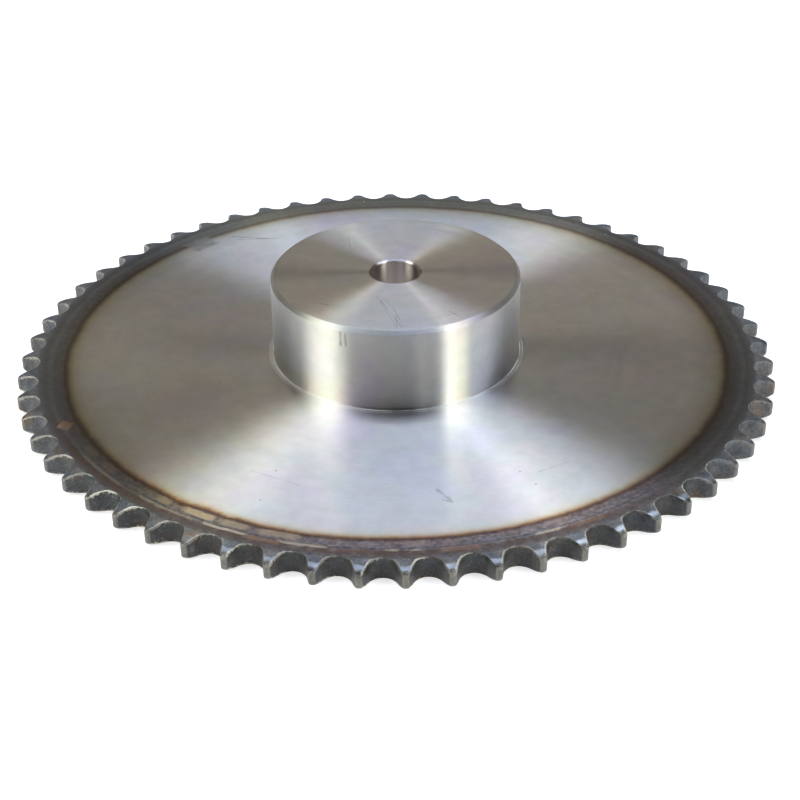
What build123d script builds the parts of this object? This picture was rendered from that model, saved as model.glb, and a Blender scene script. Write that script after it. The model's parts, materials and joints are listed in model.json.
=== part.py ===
"""Roller chain sprocket with a hub on one side and a plain bore, all one piece of steel.

The blank is turned: a thin disc with a round hub on its front face, bored through. The teeth
are then cut in the rim of the disc, each gap with the round seat that holds a chain roller.

Frame: millimetres. The bore's axis is Z, with the disc's flat back face at Z = 0 and the hub
towards +Z. One tooth points along +X.
"""

from build123d import *
import math
import os

# The chain that the teeth fit.
chain_pitch = 12.7
roller_diameter = 8.51
tooth_count = 60

# The form of a tooth.
seat_clearance = 0.05
flank_radius = 90.0
tip_land = 1.5
tip_height = 2.62

# The disc, and the curved relief that thins its rim on both faces to guide the chain.
disc_thickness = 7.2
rim_relief = 1.5
rim_relief_radius = 13.0

# The hub and the bore.
overall_length = 35.0
hub_diameter = 81.0
hub_edge_chamfer = 1.4
hub_base_bevel = 1.1
bore_diameter = 16.0
bore_chamfer = 0.5

# The pitch circle passes through the centres of the rollers, and the tips stand out from it. The
# standard for roller chain wheels lets the tips of this one be 246.5 to 250.0 mm across.
pitch_radius = chain_pitch / (2 * math.sin(math.pi / tooth_count))
tip_radius = pitch_radius + tip_height
seat_radius = roller_diameter / 2 + seat_clearance

# The relief leaves the flat face on a tangent, and is rim_relief deep where it meets the tips.
relief_width = math.sqrt(2 * rim_relief_radius * rim_relief - rim_relief**2)
flat_radius = tip_radius - relief_width

hub_radius = hub_diameter / 2
bore_radius = bore_diameter / 2

# One gap stands on the +Y axis, half a tooth away from the middles of the teeth beside it.
half_pitch_angle = math.pi / tooth_count
half_gap_angle = half_pitch_angle - tip_land / 2 / tip_radius
seat_centre = Vector(0, pitch_radius)
tip_corner = Vector(math.sin(half_gap_angle), math.cos(half_gap_angle)) * tip_radius
tooth_middle = Vector(math.sin(half_pitch_angle), math.cos(half_pitch_angle)) * tip_radius

# A flank is an arc that touches the seat from outside and ends at the tip's corner. Its centre,
# the seat's centre and the corner are a triangle, which gives the point where the two arcs meet.
corner_reach = tip_corner - seat_centre
centre_distance = seat_radius + flank_radius
cos_turn = (centre_distance**2 + corner_reach.length**2 - flank_radius**2) / (
    2 * centre_distance * corner_reach.length
)
to_flank_centre = corner_reach.normalized().rotate(Axis.Z, -math.degrees(math.acos(cos_turn)))
seat_end = seat_centre + to_flank_centre * seat_radius

# The gap's outline, from the middle of one tooth's tip to the middle of the next.
with BuildLine() as gap:
    seat_bottom = (0, pitch_radius - seat_radius)
    seat = ThreePointArc((-seat_end.X, seat_end.Y), seat_bottom, (seat_end.X, seat_end.Y))
    flank = RadiusArc(seat @ 1, tip_corner, -flank_radius)
    half_tip = RadiusArc(flank @ 1, tooth_middle, tip_radius)
    mirror(flank, about=Plane.YZ)
    mirror(half_tip, about=Plane.YZ)

# The whole wheel's outline: the gap repeated all round, turned so that a tooth points along +X.
with BuildSketch() as outline:
    with BuildLine():
        with PolarLocations(0, tooth_count, start_angle=180 / tooth_count - 90):
            add(gap.line)
    make_face()

with BuildPart() as sprocket:
    # The turned blank.
    with BuildSketch(Plane.XZ):
        with BuildLine():
            back = Line((bore_radius + bore_chamfer, 0), (flat_radius, 0))
            back_relief = TangentArc(back @ 1, (tip_radius, rim_relief), tangent=(1, 0))
            rim = Line(back_relief @ 1, (tip_radius, disc_thickness - rim_relief))
            front_relief = TangentArc((flat_radius, disc_thickness), rim @ 1, tangent=(1, 0))
            Polyline(
                front_relief @ 0,
                (hub_radius + hub_base_bevel, disc_thickness),
                (hub_radius, disc_thickness + hub_base_bevel),
                (hub_radius, overall_length - hub_edge_chamfer),
                (hub_radius - hub_edge_chamfer, overall_length),
                (bore_radius + bore_chamfer, overall_length),
                (bore_radius, overall_length - bore_chamfer),
                (bore_radius, bore_chamfer),
                back @ 0,
            )
        make_face()
    revolve(axis=Axis.Z)

    # The teeth.
    add(outline.sketch)
    extrude(amount=overall_length, mode=Mode.INTERSECT)

sprocket.part.label = "sprocket"

os.makedirs("parts", exist_ok=True)
export_step(sprocket.part, "parts/sprocket.step")

seat_angle = 2 * to_flank_centre.get_angle(Vector(0, -1))
print(f"pitch diameter {2 * pitch_radius:.2f} mm, root diameter {2 * (pitch_radius - seat_radius):.2f} mm,")
print(f"tip diameter {2 * tip_radius:.2f} mm, seating angle {seat_angle:.1f} degrees,")
print(f"volume {sprocket.part.volume / 1000:.1f} cm3")
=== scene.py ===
# %% [markdown]
# # A chain sprocket with a hub, dressed in Blender
#
# A wheel like this is one piece of steel. A round blank is turned on a lathe: a thin disc with a
# thick hub on one face and a bore through the middle. Then sixty teeth are cut in its rim, and
# often the rim is heated and quenched so that the chain doesn't wear the teeth away. It looks as
# if all of that was done here: there are fine circles such as a turning tool leaves, a fringe of
# golden and brown heat colour, and dark scale on the teeth.
#
# The model of the wheel is loaded first. It fixes the size and the place of all that follows.

# %% Load the frame
import json
import math

import bmesh
import bpy
from mathutils import Matrix, Quaternion, Vector

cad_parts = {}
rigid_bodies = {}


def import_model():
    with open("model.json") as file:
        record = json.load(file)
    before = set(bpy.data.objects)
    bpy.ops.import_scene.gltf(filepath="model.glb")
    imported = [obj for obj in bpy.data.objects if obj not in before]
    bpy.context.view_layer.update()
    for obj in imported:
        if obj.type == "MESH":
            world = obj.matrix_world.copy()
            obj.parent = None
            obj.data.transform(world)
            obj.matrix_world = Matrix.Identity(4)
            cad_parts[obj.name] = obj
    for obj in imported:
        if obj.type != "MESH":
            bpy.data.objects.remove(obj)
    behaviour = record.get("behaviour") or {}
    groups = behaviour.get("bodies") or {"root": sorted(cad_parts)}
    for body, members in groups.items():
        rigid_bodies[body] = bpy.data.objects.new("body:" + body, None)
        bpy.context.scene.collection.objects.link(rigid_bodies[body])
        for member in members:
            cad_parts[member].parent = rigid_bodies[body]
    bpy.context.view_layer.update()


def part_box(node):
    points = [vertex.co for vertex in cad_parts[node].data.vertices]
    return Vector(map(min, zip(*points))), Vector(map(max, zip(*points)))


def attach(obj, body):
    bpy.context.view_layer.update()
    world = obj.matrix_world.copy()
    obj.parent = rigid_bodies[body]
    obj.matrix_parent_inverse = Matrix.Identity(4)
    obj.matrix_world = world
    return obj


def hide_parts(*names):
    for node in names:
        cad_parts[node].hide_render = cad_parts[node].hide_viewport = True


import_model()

# %% [markdown]
# ## The sizes of the wheel
#
# Everything is worked out in millimetres, as on a workshop drawing, and the finished mesh is
# scaled to metres once at the end. The tips and the hub's height are read from the frame. The
# teeth are for chain of 12.7 mm pitch, and the rest are this wheel's own sizes. Its smallest
# radii and chamfers are chosen to look right.

# %% Sizes in millimetres
to_mm = 1000
high_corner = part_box("sprocket")[1]
tip_radius = high_corner.x * to_mm
overall_length = high_corner.z * to_mm

tooth_count = 60
chain_pitch = 12.7
roller_diameter = 8.51
seat_clearance = 0.05
flank_radius = 90.0
tip_land = 1.5
disc_thickness = 7.2
rim_relief = 1.5
rim_relief_radius = 13.0
hub_radius = 40.5
hub_edge_chamfer = 1.2
hub_base_radius = 0.6
bore_radius = 8.0
bore_chamfer = 0.5

half_pitch_angle = math.pi / tooth_count
pitch_radius = chain_pitch / (2 * math.sin(half_pitch_angle))
seat_radius = roller_diameter / 2 + seat_clearance
relief_width = math.sqrt(2 * rim_relief_radius * rim_relief - rim_relief**2)
flat_radius = tip_radius - relief_width
print(f"pitch radius {pitch_radius:.2f}, tip radius {tip_radius:.2f}, flat to {flat_radius:.2f} mm")


# %% [markdown]
# ## The outline of one tooth
#
# A tooth is symmetric, so only half of its outline is drawn and the rest is mirrored. The half
# runs from the middle of the tip to the middle of the gap, through four arcs: the tip, a small
# rounding that wears onto every tip, the flank, and the round seat that holds a chain roller.
#
# Such an outline could be a curve object turned into a mesh. Here it is spun: bmesh's spin
# sweeps a lone vertex about a centre and leaves an arc of edges, which is just how a compass
# draws it. Only the centres of the arcs have to be worked out.

# %% Where the arcs are centred
tip_rounding = 0.95


def meeting_point(centre_a, reach_a, centre_b, reach_b, side):
    """Where two circles cross, on one side of the line from centre a to centre b."""
    line = centre_b - centre_a
    along = (reach_a**2 - reach_b**2 + line.length_squared) / (2 * line.length)
    across = math.sqrt(reach_a**2 - along**2)
    normal = Vector((-line.y, line.x)).normalized()
    return centre_a + line.normalized() * along + normal * across * side


wheel_centre = Vector((0, 0))
gap_direction = Vector((math.cos(half_pitch_angle), math.sin(half_pitch_angle)))
seat_centre = gap_direction * pitch_radius
tip_corner_angle = tip_land / 2 / tip_radius
tip_corner = Vector((math.cos(tip_corner_angle), math.sin(tip_corner_angle))) * tip_radius
flank_centre = meeting_point(seat_centre, seat_radius + flank_radius, tip_corner, flank_radius, -1)
rounding_centre = meeting_point(
    wheel_centre, tip_radius - tip_rounding, flank_centre, flank_radius - tip_rounding, 1
)
print("centres: seat", seat_centre[:], "flank", flank_centre[:], "rounding", rounding_centre[:])

# %% [markdown]
# Each arc starts where the last one stopped. Every vertex also remembers two things that the
# next steps need, its place on the outline and the way out of the steel there. A bmesh keeps
# such notes in layers, and an extruded vertex inherits the notes of the one it came from.

# %% Draw half a tooth with spun arcs
tooth = bmesh.new()
on_outline = tooth.verts.layers.float_vector.new("on_outline")
way_out = tooth.verts.layers.float_vector.new("way_out")
worn = tooth.verts.layers.float.new("worn")


def add_arc(start, centre, end, steps, hollow=False):
    """Spins the start vertex about centre until it reaches end, and returns the last vertex."""
    before = set(tooth.verts)
    arm = start.co.xy - centre
    last_arm = end - centre
    turn = math.atan2(arm.x * last_arm.y - arm.y * last_arm.x, arm.dot(last_arm))
    pivot = centre.to_3d()
    spun = bmesh.ops.spin(tooth, geom=[start], cent=pivot, axis=(0, 0, 1), angle=turn, steps=steps)
    for vertex in set(tooth.verts) - before | {start}:
        outward = (vertex.co - pivot).normalized()
        vertex[way_out] = -outward if hollow else outward
        vertex[on_outline] = vertex.co
    return next(item for item in spun["geom_last"] if isinstance(item, bmesh.types.BMVert))


tip_end = rounding_centre.normalized() * tip_radius
rounding_end = flank_centre + (rounding_centre - flank_centre).normalized() * flank_radius
flank_end = seat_centre + (flank_centre - seat_centre).normalized() * seat_radius
seat_bottom = gap_direction * (pitch_radius - seat_radius)

corner = bmesh.ops.create_vert(tooth, co=(tip_radius, 0, 0))["vert"][0]
corner = add_arc(corner, wheel_centre, tip_end, steps=1)
corner = add_arc(corner, rounding_centre, rounding_end, steps=3)
corner = add_arc(corner, flank_centre, flank_end, steps=4)
corner = add_arc(corner, seat_centre, seat_bottom, steps=5, hollow=True)
print("half a tooth:", len(tooth.verts), "vertices, down to radius", round(corner.co.length, 3))

# %% [markdown]
# ## The body of the tooth
#
# The face of a tooth isn't flat. Past the flat face it curves down towards the tip, so that the
# links of the chain slide on easily. Its edge is rounded, and the rounding grows towards the
# tip, where a tooth wears most. Two formulas say so once, for everything that follows.

# %% The curve of the face and the rounding of the edge
edge_rounding = 0.3
tip_edge_rounding = 0.55


def face_height(radius):
    """Height of the front face, which curves down past the flat part."""
    past_flat = max(0.0, radius - flat_radius)
    drop = rim_relief_radius - math.sqrt(rim_relief_radius**2 - past_flat**2)
    return disc_thickness - drop


def rounding_at(radius):
    """Rounding of the edge, which grows towards the tip of the tooth."""
    share = max(0.0, min(1.0, (radius - flat_radius) / (tip_radius - flat_radius)))
    return edge_rounding + (tip_edge_rounding - edge_rounding) * share


print(f"face at the root {face_height(corner.co.length):.2f}, at the tip {face_height(tip_radius):.2f} mm")

# %% [markdown]
# The outline is pulled up into a wall, turned over the small rounding at the edge, and then drawn
# inwards over the face until its rows have become plain circles. Each row is one call of
# extrude_edge_only, followed by placing the new vertices. The rounding matters more than its
# size suggests: no real edge is sharp, and this narrow strip is what catches the light.

# %% Extrude the wall, the edge and the face
circles_from = 113.4
middle_height = disc_thickness / 2


def at_height(flat_point, height):
    """A point over flat_point, at that height."""
    return Vector((flat_point.x, flat_point.y, height))


def on_wall(vertex, share):
    """A place on the tooth's wall, from the middle of its thickness to the edge rounding."""
    radius = vertex[on_outline].length
    top = face_height(radius) - rounding_at(radius)
    return at_height(vertex[on_outline], middle_height + (top - middle_height) * share)


def on_edge(vertex, turn):
    """A place on the rounded edge, from the wall at no turn to the face at a quarter turn."""
    rounding = rounding_at(vertex[on_outline].length)
    inset = vertex[on_outline] - vertex[way_out] * rounding * (1 - math.cos(turn))
    return at_height(inset, face_height(inset.length) - rounding * (1 - math.sin(turn)))


def on_face(vertex, share):
    """A place on the face, from the rounded edge to the first true circle."""
    inset = vertex[on_outline] - vertex[way_out] * rounding_at(vertex[on_outline].length)
    radius = inset.length + (circles_from - inset.length) * share
    return at_height(inset.normalized() * radius, face_height(radius))


def on_circle(vertex, radius):
    """A place on a circle of the flat face."""
    return at_height(vertex.co.xy.normalized() * radius, disc_thickness)


def extrude_row(row, place, amount, wear=0.0):
    """Extrudes a row of edges, puts each new vertex where place says, and returns the new row."""
    made = bmesh.ops.extrude_edge_only(tooth, edges=row)["geom"]
    for vertex in [item for item in made if isinstance(item, bmesh.types.BMVert)]:
        vertex.co = place(vertex, amount)
        vertex[worn] = wear
    return [item for item in made if isinstance(item, bmesh.types.BMEdge)]


for vertex in tooth.verts:
    vertex.co.z = middle_height
row = tooth.edges[:]
for share in (0.4, 0.8):
    row = extrude_row(row, on_wall, share)
row = extrude_row(row, on_wall, 1.0, wear=0.6)
for degrees in (30, 60, 90):
    row = extrude_row(row, on_edge, math.radians(degrees), wear=1.0)
for share in (0.1, 0.22, 0.36, 0.52, 0.68, 0.84, 1.0):
    row = extrude_row(row, on_face, share)
for radius in (111.0, 108.0, 105.0):
    row = extrude_row(row, on_circle, radius)
print("a quarter of a tooth:", len(tooth.faces), "faces")

# %% [markdown]
# The row has many more vertices than a plain disc needs, so it ends on an arc of only three
# steps, and bridge_loops fills the strip between the two with triangles. The disc will have a
# vertex in just the same places, so that the rim can be welded to it.

# %% Thin the row out where the disc begins
body_radius = 103.0
steps_per_tooth = 6

foot = bmesh.ops.create_vert(tooth, co=(body_radius, 0, disc_thickness))["vert"][0]
bmesh.ops.spin(
    tooth, geom=[foot], axis=(0, 0, 1), angle=half_pitch_angle, steps=steps_per_tooth // 2
)
foot_arc = [edge for edge in tooth.edges if not edge.link_faces and edge not in row]
foot_arc = [edge for edge in foot_arc if edge.verts[0].co.xy.length < body_radius + 0.1]
bmesh.ops.bridge_loops(tooth, edges=row + foot_arc)
print("with its foot:", len(tooth.faces), "faces")

# %% [markdown]
# ## Sixty teeth from a quarter of one
#
# The quarter is mirrored twice, across the middle of the tooth and across the middle of its
# thickness, and spin with use_duplicate copies the tooth round the wheel. An Array modifier
# round an empty would do the same, but here the copies are welded at once into one rim.

# %% Mirror and repeat
whole = tooth.verts[:] + tooth.edges[:] + tooth.faces[:]
bmesh.ops.mirror(tooth, geom=whole, axis="Y", merge_dist=0.001)
whole = tooth.verts[:] + tooth.edges[:] + tooth.faces[:]
to_mid_plane = Matrix.Translation((0, 0, -middle_height))
bmesh.ops.mirror(tooth, geom=whole, matrix=to_mid_plane, axis="Z", merge_dist=0.001)
whole = tooth.verts[:] + tooth.edges[:] + tooth.faces[:]
copies = tooth_count - 1
copy_turn = math.tau * copies / tooth_count
bmesh.ops.spin(
    tooth, geom=whole, axis=(0, 0, 1), angle=copy_turn, steps=copies, use_duplicate=True
)
bmesh.ops.remove_doubles(tooth, verts=tooth.verts[:], dist=0.001)
print("rim of", tooth_count, "teeth:", len(tooth.faces), "faces")

# %% [markdown]
# ## The turned body
#
# Everything inside the rim is round about one axis, so it is made the way a lathe makes it. A
# section is drawn as a chain of edges, its corners are rounded, and spin turns it all round. A
# Screw modifier does the same and stays live, but spin leaves a mesh that can be joined on.
#
# The corners are rounded by bevel, working on vertices. Every corner gets a radius of its own: a
# wide fillet where the hub meets the disc, and next to nothing on edges that look as if they were
# only broken with a file.

# %% Draw the section and round its corners
section = bmesh.new()
step_radius = 42.9
step_depth = 0.06
chamfer_inset = hub_radius - hub_edge_chamfer
chamfer_foot = overall_length - hub_edge_chamfer
bore_mouth = bore_radius + bore_chamfer

section_corners = [
    ((body_radius, disc_thickness), 0),
    ((step_radius, disc_thickness), 0.06),
    ((step_radius - 0.03, disc_thickness - step_depth), 0.03),
    ((hub_radius, disc_thickness - step_depth), hub_base_radius),
    ((hub_radius, chamfer_foot), 0.18),
    ((chamfer_inset, overall_length), 0.18),
    ((bore_mouth, overall_length), 0.08),
    ((bore_radius, overall_length - bore_chamfer), 0.08),
    ((bore_radius, bore_chamfer), 0.08),
    ((bore_mouth, 0), 0.08),
    ((body_radius, 0), 0),
]
drawn = [section.verts.new((radius, 0, height)) for (radius, height), rounding in section_corners]
for first, second in zip(drawn, drawn[1:]):
    section.edges.new((first, second))
for vertex, (place, rounding) in zip(drawn, section_corners):
    if rounding:
        bmesh.ops.bevel(
            section, geom=[vertex], offset=rounding, segments=4, profile=0.5,
            affect="VERTICES", material=-1,
        )
print("section:", len(section.verts), "vertices")

# %% [markdown]
# One face from end to end would be enough for a long flat run, but the normals are smoothed
# later on, and a narrow face beside each corner keeps that smoothing out of the flat. So every
# long run of the section gets a vertex close to each of its ends, and then it is spun.

# %% Hold the long runs and turn the section round
turned_steps = steps_per_tooth * tooth_count
hold_distance = 0.35

for edge in [edge for edge in section.edges if edge.calc_length() > 6 * hold_distance]:
    near_end, far_end = edge.verts
    for end in (near_end, far_end):
        bmesh.utils.edge_split(edge, end, hold_distance / edge.calc_length())
bmesh.ops.spin(
    section, geom=section.verts[:] + section.edges[:], axis=(0, 0, 1),
    angle=math.tau, steps=turned_steps, use_merge=True,
)
print("turned body:", len(section.faces), "faces")

# %% [markdown]
# ## One piece of steel
#
# The rim and the body are brought into one mesh and welded where their vertices meet. The seam
# lies on flat steel, where no one can see it. A closed shell has no open edges, and its volume
# should be near that of the model.

# %% Weld the rim to the body
def moved_into(target, source):
    """Copies everything in the source bmesh into the target bmesh."""
    carrier = bpy.data.meshes.new("carrier")
    source.to_mesh(carrier)
    target.from_mesh(carrier)
    bpy.data.meshes.remove(carrier)
    source.free()


moved_into(tooth, section)
wheel = tooth
bmesh.ops.remove_doubles(wheel, verts=wheel.verts[:], dist=0.001)
bmesh.ops.recalc_face_normals(wheel, faces=wheel.faces[:])
faulty = sum(1 for edge in wheel.edges if not edge.is_manifold or not edge.is_contiguous)
print("wheel:", len(wheel.faces), "faces, volume", round(wheel.calc_volume() / 1000, 2), "cm3")
print("open or faulty edges:", faulty)

# %% [markdown]
# ## A map that follows the turning
#
# Turned steel shines differently along and across the tool's marks, so the finish has to know
# which way they run. A map does that: its u goes once round the wheel, and its v goes along the
# section, from the back through the bore and over the front. It is the strip that the tool
# itself travelled, laid flat, and it is named OFBake.
#
# The walls of the teeth stand upright on that strip, so they get a strip of their own in the
# middle, between the back and the front.

# %% Lay the strip flat
strip_map = "OFBake"
strip_length = 320.0
walls_at = 0.4
strip = wheel.loops.layers.uv.new(strip_map)


def along_section(place, centre, upright):
    """How far a place is along the section, in millimetres from the middle of the rim."""
    if upright and centre.xy.length > body_radius:
        return place.z - middle_height
    inwards = disc_thickness + tip_radius - place.xy.length
    if centre.z < bore_chamfer and not (upright and centre.xy.length < bore_mouth):
        return -inwards - place.z
    if place.xy.length > chamfer_inset:
        return inwards + abs(place.z - disc_thickness)
    return inwards + 2 * overall_length - disc_thickness - place.z


for face in wheel.faces:
    centre = face.calc_center_median()
    upright = abs(face.normal.z) < 0.02
    middle_angle = math.atan2(centre.y, centre.x)
    for corner in face.loops:
        place = corner.vert.co
        angle = math.atan2(place.y, place.x)
        angle += math.tau * round((middle_angle - angle) / math.tau)
        along = along_section(place, centre, upright)
        corner[strip].uv = (0.5 + angle / math.tau, walls_at + along / strip_length)
spread = [corner[strip].uv for face in wheel.faces for corner in face.loops]
for axis in (0, 1):
    print("strip", "uv"[axis], min(uv[axis] for uv in spread), max(uv[axis] for uv in spread))

# %% [markdown]
# ## The finished piece
#
# The bmesh becomes one object that rides on the wheel's body, and the model's solid is hidden.
# Its faces are shaded smooth, because the roundings are real geometry now. A Weighted Normal
# modifier lets the large flat faces decide the normals at their borders, so that they stay flat
# right up to the roundings.
#
# The faces get one of two finishes by where they lie. The walls of the gaps, with their rounded
# edges, are the upright faces near the rim. All the others are turned steel. Of the vertices'
# notes only worn is kept, because the finishes read it.

# %% Make the object
def add_object(name, data):
    """Puts a new object with this data into the scene."""
    made = bpy.data.objects.new(name, data)
    bpy.context.scene.collection.objects.link(made)
    return made


for face in wheel.faces:
    face.smooth = True
    middle_radius = face.calc_center_median().xy.length
    if middle_radius > circles_from and abs(face.normal.z) < 0.8:
        face.material_index = 1
for note in ("on_outline", "way_out"):
    wheel.verts.layers.float_vector.remove(wheel.verts.layers.float_vector[note])
bmesh.ops.scale(wheel, vec=(1 / to_mm, 1 / to_mm, 1 / to_mm), verts=wheel.verts[:])

wheel_mesh = bpy.data.meshes.new("sprocket_body")
wheel.to_mesh(wheel_mesh)
wheel.free()
wheel_body = add_object("sprocket_body", wheel_mesh)
true_normals = wheel_body.modifiers.new("true_normals", "WEIGHTED_NORMAL")
true_normals.mode = "FACE_AREA"
true_normals.weight = 50

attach(wheel_body, "root")
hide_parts("sprocket")
print("piece:", len(wheel_mesh.vertices), "vertices, layers", [item.name for item in wheel_mesh.attributes])

# %% [markdown]
# ## The finishes
#
# Two finishes cover the wheel, and each is a material made of nodes. Nearly all that they show
# goes round the axis, so they don't work in x, y and z but in what a turner would use: the
# distance from the axis, the angle round it, and the height. The next cells hold the small
# helpers that place and join nodes, so that a finish can be written down almost like a formula.

# %% Helpers that place and join nodes
def feed(tree, socket, value):
    """Joins another socket to this one, or sets this one to a plain value."""
    if isinstance(value, bpy.types.NodeSocket):
        tree.links.new(value, socket)
    else:
        socket.default_value = value


def calculate(tree, operation, *values):
    """Places a Math node and returns its output."""
    node = tree.nodes.new("ShaderNodeMath")
    node.operation = operation
    for socket, value in zip(node.inputs, values):
        feed(tree, socket, value)
    return node.outputs["Value"]


def times(tree, first, *others):
    """Multiplies values with one another."""
    for other in others:
        first = calculate(tree, "MULTIPLY", first, other)
    return first


def rescale(tree, value, low, high, new_low=0.0, new_high=1.0, smooth=False):
    """Maps low..high to new_low..new_high, and holds the ends."""
    node = tree.nodes.new("ShaderNodeMapRange")
    node.interpolation_type = "SMOOTHSTEP" if smooth else "LINEAR"
    names = ("Value", "From Min", "From Max", "To Min", "To Max")
    for name, item in zip(names, (value, low, high, new_low, new_high)):
        feed(tree, node.inputs[name], item)
    return node.outputs["Result"]


def between(tree, value, low, high, soft):
    """Gives 1 between low and high and 0 outside, with soft borders."""
    risen = rescale(tree, value, low - soft, low + soft, smooth=True)
    fallen = rescale(tree, value, high - soft, high + soft, 1.0, 0.0, smooth=True)
    return times(tree, risen, fallen)


# %% [markdown]
# Colours need some more helpers. One mixes two colours and one multiplies them, which is what a
# film or a stain does to the steel under it. The last is a colour ramp, whose stops are written in
# the units of what drives it, such as millimetres or degrees.

# %% Helpers for colours
def mixed(tree, factor, first, second, blend="MIX"):
    """Mixes the second colour into the first."""
    node = tree.nodes.new("ShaderNodeMix")
    node.data_type = "RGBA"
    node.blend_type = blend
    feed(tree, node.inputs["Factor"], factor)
    colours = [socket for socket in node.inputs if socket.type == "RGBA"]
    for socket, colour in zip(colours, (first, second)):
        feed(tree, socket, colour)
    return next(socket for socket in node.outputs if socket.type == "RGBA")


def shaded(tree, colour, shade):
    """Multiplies a colour by a shade or by another colour."""
    return mixed(tree, 1.0, colour, shade, "MULTIPLY")


def grey(shade):
    """A plain grey as a colour."""
    return (shade, shade, shade, 1)


def ramp(tree, value, stops):
    """A colour ramp over value. Each stop is a place on the value's own scale and a colour."""
    low = stops[0][0]
    high = stops[-1][0]
    node = tree.nodes.new("ShaderNodeValToRGB")
    feed(tree, node.inputs["Fac"], rescale(tree, value, low, high))
    for place, colour in stops[1:-1]:
        node.color_ramp.elements.new((place - low) / (high - low)).color = colour
    node.color_ramp.elements[0].color = stops[0][1]
    node.color_ramp.elements[-1].color = stops[-1][1]
    return node.outputs["Color"]


# %% [markdown]
# What more than one finish needs becomes a node group, built once and placed in each of them.
# A group is a tree of its own, with named sockets that pass values in and out.

# %% Helpers for node groups
def start_group(name, inputs, outputs):
    """Starts a node group. Inputs are name and value, outputs are name and socket type."""
    group = bpy.data.node_groups.new(name, "ShaderNodeTree")
    for socket_name, value in inputs.items():
        made = group.interface.new_socket(
            name=socket_name, in_out="INPUT", socket_type="NodeSocketFloat"
        )
        made.default_value = value
    for socket_name, kind in outputs.items():
        group.interface.new_socket(name=socket_name, in_out="OUTPUT", socket_type=kind)
    entry = group.nodes.new("NodeGroupInput")
    leave = group.nodes.new("NodeGroupOutput")
    return group, entry.outputs, leave.inputs


def place_group(tree, group, **values):
    """Places a group in a tree, feeds the sockets named, and returns its outputs."""
    node = tree.nodes.new("ShaderNodeGroup")
    node.node_tree = group
    for name, value in values.items():
        feed(tree, node.inputs[name.replace("_", " ")], value)
    return node.outputs


# %% [markdown]
# ### A place on the wheel
#
# This group turns Object coordinates into the turner's own. The angle is in degrees. It is 0 at the
# right and grows to the back (90), the left (180) and the front (270). Run is how far the tool has
# gone along the section: on a flat face it follows the radius, and on the hub's side the height.
# Taking a part of the height off the radius gives one number that changes on both.

# %% The place on the wheel
FLOAT = "NodeSocketFloat"
COLOUR = "NodeSocketColor"

place_outputs = {"Radius": FLOAT, "Angle": FLOAT, "Height": FLOAT, "Run": FLOAT}
place_outputs.update({"Cosine": FLOAT, "Sine": FLOAT})
wheel_place, entry, leave = start_group("wheel_place", {}, place_outputs)
where = wheel_place.nodes.new("ShaderNodeTexCoord").outputs["Object"]
parts = wheel_place.nodes.new("ShaderNodeSeparateXYZ")
wheel_place.links.new(where, parts.inputs[0])
x = times(wheel_place, parts.outputs["X"], to_mm)
y = times(wheel_place, parts.outputs["Y"], to_mm)
height = times(wheel_place, parts.outputs["Z"], to_mm)
squares = calculate(wheel_place, "ADD", times(wheel_place, x, x), 0.0001)
squares = calculate(wheel_place, "MULTIPLY_ADD", y, y, squares)
radius = calculate(wheel_place, "SQRT", squares)
turned = calculate(wheel_place, "DEGREES", calculate(wheel_place, "ARCTAN2", y, x))
turned = calculate(wheel_place, "WRAP", turned, 360.0, 0.0)
height_share = 0.73
run = calculate(wheel_place, "MULTIPLY_ADD", height, -height_share, radius)
found = {"Radius": radius, "Angle": turned, "Height": height, "Run": run}
found["Cosine"] = calculate(wheel_place, "DIVIDE", x, radius)
found["Sine"] = calculate(wheel_place, "DIVIDE", y, radius)
for name, value in found.items():
    feed(wheel_place, leave[name], value)
print("wheel_place gives", list(found))

# %% [markdown]
# ### Noise that runs round
#
# Ordinary noise is blotchy. If it is looked up at the cosine and the sine of the angle, and at
# the run, its blotches are drawn out into rings and streaks. A small Around makes them long, and
# a large Across makes them thin.

# %% Round noise
round_noise, entry, leave = start_group(
    "round_noise", {"Around": 1.0, "Across": 1.0, "Seed": 0.0}, {"Value": FLOAT}
)
place = place_group(round_noise, wheel_place)
spot = round_noise.nodes.new("ShaderNodeCombineXYZ")
for axis, name in (("X", "Cosine"), ("Y", "Sine")):
    reach = calculate(round_noise, "MULTIPLY_ADD", place[name], entry["Around"], entry["Seed"])
    feed(round_noise, spot.inputs[axis], reach)
reach = times(round_noise, place["Run"], entry["Across"])
feed(round_noise, spot.inputs["Z"], reach)
cloud = round_noise.nodes.new("ShaderNodeTexNoise")
cloud.inputs["Scale"].default_value = 1.0
cloud.inputs["Detail"].default_value = 2.0
round_noise.links.new(spot.outputs["Vector"], cloud.inputs["Vector"])
round_noise.links.new(cloud.outputs["Fac"], leave["Value"])
print("round_noise takes", [item.name for item in round_noise.interface.items_tree])


# %% [markdown]
# Blotches are used as well, for stains and for scale that flaked. This helper places plain
# noise on Object coordinates, with the size of its blotches given in millimetres.

# %% Blotches of a given size
def blotches(tree, size, detail):
    """Noise whose blotches are about size millimetres wide."""
    where = tree.nodes.new("ShaderNodeTexCoord").outputs["Object"]
    cloud = tree.nodes.new("ShaderNodeTexNoise")
    cloud.inputs["Scale"].default_value = to_mm / size
    cloud.inputs["Detail"].default_value = detail
    tree.links.new(where, cloud.inputs["Vector"])
    return cloud.outputs["Fac"]


# %% [markdown]
# ### The marks of the turning tool
#
# A turned face is a very fine groove that winds in towards the axis. Single grooves are too fine
# to see, but the tool chatters and wears, and that leaves bands that are a little brighter or
# duller. Three widths of rings together look right. The group gives a shade to multiply the
# colour by, and a height for the bump.

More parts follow.
